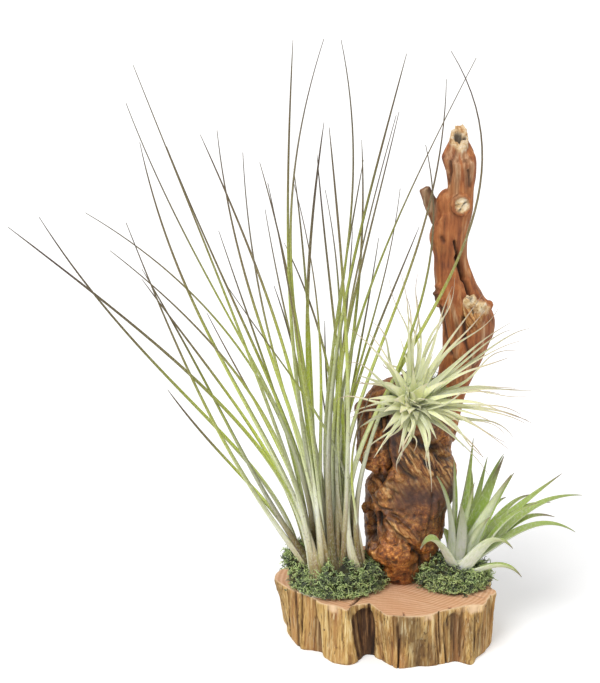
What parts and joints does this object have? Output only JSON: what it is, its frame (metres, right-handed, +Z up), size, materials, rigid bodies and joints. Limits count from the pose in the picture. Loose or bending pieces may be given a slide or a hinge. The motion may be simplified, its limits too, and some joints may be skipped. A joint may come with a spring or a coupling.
{
  "type": "air plant holder",
  "caption": "Gnarled driftwood fixed on a flat slice of fluted wood, with moss and three glued air plants; stands on a table or shelf.",
  "frame": {"origin": "centre of the slab's flat underside", "axes": "+Z up, +X to the right and +Y to the back when the object is seen from its front"},
  "size_m": [0.3984, 0.1715, 0.4351],
  "materials": {
    "slab_wood": "sawn faces and weathered, bark-less fluted side",
    "driftwood_wood": "oiled burl, drier limb",
    "screw_steel": "zinc plated",
    "moss": "dry preserved moss",
    "clear_glue": "hot-melt glue",
    "rush_leaf": "matte living leaf, silver at the base",
    "top_leaf": "matte living leaf, frosted",
    "right_leaf": "matte living leaf, frosted"
  },
  "bodies": {
    "root": {"base_slab": "slab_wood", "driftwood": "driftwood_wood", "foot_screws": "screw_steel", "glue_left": "clear_glue", "glue_right": "clear_glue", "glue_top": "clear_glue", "moss_left": "moss", "moss_right": "moss", "moss_top": "moss", "right_crown": "right_leaf", "right_leaves_inner": "right_leaf", "right_leaves_outer": "right_leaf", "rush_crowns": "rush_leaf", "rush_leaves_1": "rush_leaf", "rush_leaves_2": "rush_leaf", "rush_leaves_3": "rush_leaf", "rush_leaves_4": "rush_leaf", "rush_leaves_5": "rush_leaf", "rush_leaves_6": "rush_leaf", "top_crown": "top_leaf", "top_leaves_heart": "top_leaf", "top_leaves_lower": "top_leaf", "top_leaves_middle": "top_leaf"}
  },
  "joints": []
}
